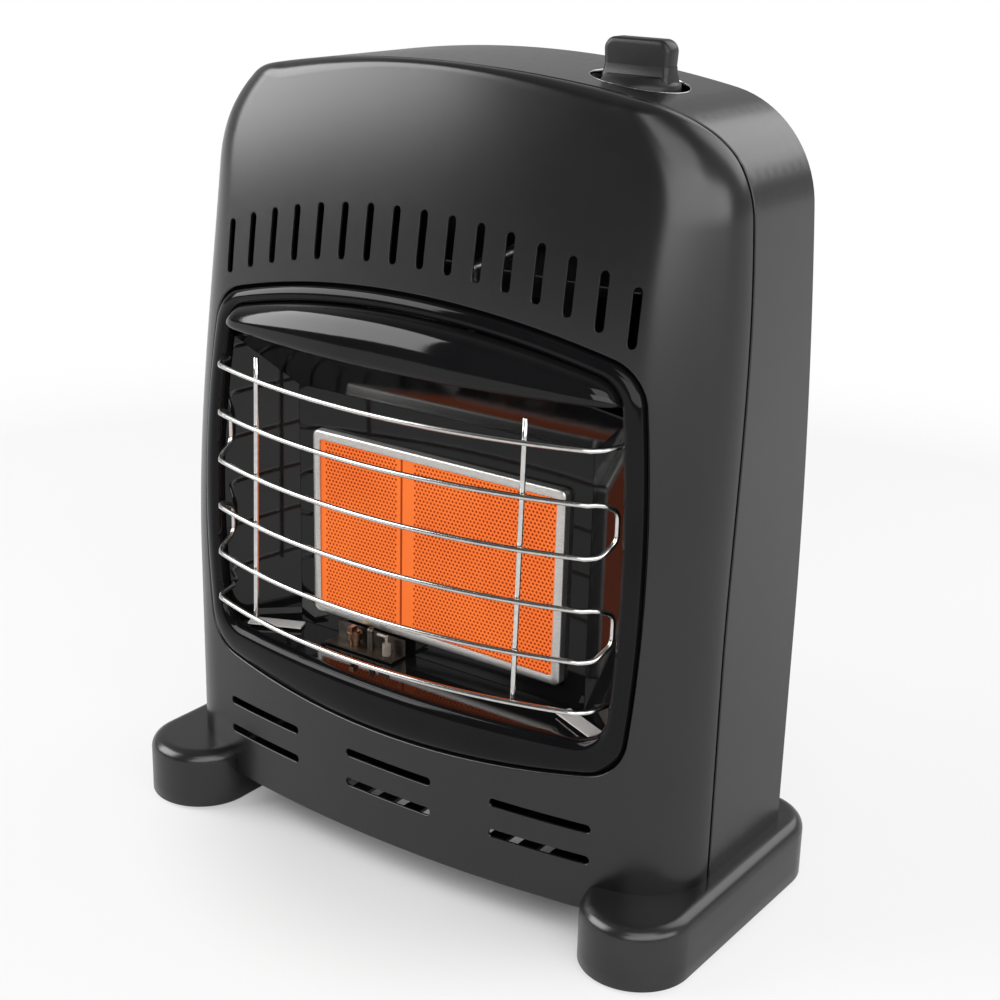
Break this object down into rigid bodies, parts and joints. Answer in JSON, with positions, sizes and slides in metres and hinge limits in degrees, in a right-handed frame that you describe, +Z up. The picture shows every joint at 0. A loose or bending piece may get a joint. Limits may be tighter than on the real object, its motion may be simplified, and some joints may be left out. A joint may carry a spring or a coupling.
{
  "type": "portable propane heater",
  "caption": "Radiant gas heater: bowed black steel housing on two long feet, ceramic burner in a flared reflector behind a wire guard, push-and-turn knob, cylinder niche at the back.",
  "frame": {"origin": "centre of the bounding box at the height of the foot pads' undersides", "axes": "+X to the right seen from the front, front faces -Y, +Z up"},
  "size_m": [0.29, 0.1502, 0.359],
  "materials": {
    "black_paint": "satin",
    "enamel": "gloss",
    "bright_steel": "polished",
    "frame_steel": "satin",
    "ceramic": "matte",
    "plated_steel": "satin",
    "venturi_metal": "cast",
    "brass": "machined",
    "stem_steel": "satin",
    "porcelain": "gloss",
    "guard_chrome": "polished",
    "pad_rubber": "matte",
    "knob_plastic": "satin",
    "rim_chrome": "polished",
    "igniter_plastic": "satin",
    "switch_plastic": "satin",
    "pipe_metal": "satin",
    "screw_steel": "zinc plated"
  },
  "bodies": {
    "housing": {"front_cover": "black_paint", "top_side_band": "black_paint", "back_panel": "black_paint", "cylinder_niche": "black_paint", "base_plate": "black_paint", "window_surround": "enamel", "hood": "enamel", "reflector_back": "enamel", "reflector_top": "enamel", "reflector_bottom": "enamel", "reflector_left": "enamel", "reflector_right": "enamel", "left_corner_strip": "bright_steel", "right_corner_strip": "bright_steel", "burner_frame": "frame_steel", "ceramic_tile_left": "ceramic", "ceramic_tile_right": "ceramic", "burner_box": "plated_steel", "venturi_tube": "venturi_metal", "burner_orifice": "brass", "orifice_bracket": "plated_steel", "pilot_bracket": "plated_steel", "pilot_burner": "brass", "thermocouple": "stem_steel", "igniter_electrode": "porcelain", "guard_top_wire": "guard_chrome", "guard_upper_loop": "guard_chrome", "guard_lower_loop": "guard_chrome", "guard_bottom_wire": "guard_chrome", "guard_uprights": "guard_chrome", "left_foot": "black_paint", "right_foot": "black_paint", "foot_pads": "pad_rubber", "control_valve": "venturi_metal", "valve_bracket": "plated_steel", "knob_rim": "rim_chrome", "piezo_igniter": "igniter_plastic", "regulator_body": "venturi_metal", "regulator_bonnet": "plated_steel", "cylinder_socket": "brass", "inlet_pipe": "pipe_metal", "burner_pipe": "pipe_metal", "tip_switch_case": "switch_plastic", "back_screws": "screw_steel", "base_screws": "screw_steel"},
    "rotor": {"valve_rotor": "brass", "stem_spring": "plated_steel"},
    "knob_unit": {"knob": "knob_plastic", "valve_stem": "stem_steel"},
    "plunger": {"piezo_plunger": "stem_steel"},
    "pendulum": {"tip_pendulum": "stem_steel"}
  },
  "joints": [
    {"name": "knob_turn", "type": "hinge", "parent": "housing", "child": "rotor", "pos_m": [0.069, 0.01, 0.3], "axis": [0, 0, 1], "range_deg": [0, 135]},
    {"name": "knob_push", "type": "slide", "parent": "rotor", "child": "knob_unit", "axis": [0, 0, -1], "range_m": [0, 0.004], "stiffness_N_per_m": 600, "springref_m": -0.003, "deforming": ["stem_spring"]},
    {"name": "igniter_push", "type": "slide", "parent": "housing", "child": "plunger", "axis": [0, 0, -1], "range_m": [0, 0.004]},
    {"name": "tip_swing", "type": "hinge", "parent": "housing", "child": "pendulum", "pos_m": [-0.095, 0.025, 0.06], "axis": [0, 1, 0], "range_deg": [-25, 25]}
  ],
  "couplings": [
    {"joint": "igniter_push", "follows": "knob_push", "ratio": 1}
  ]
}
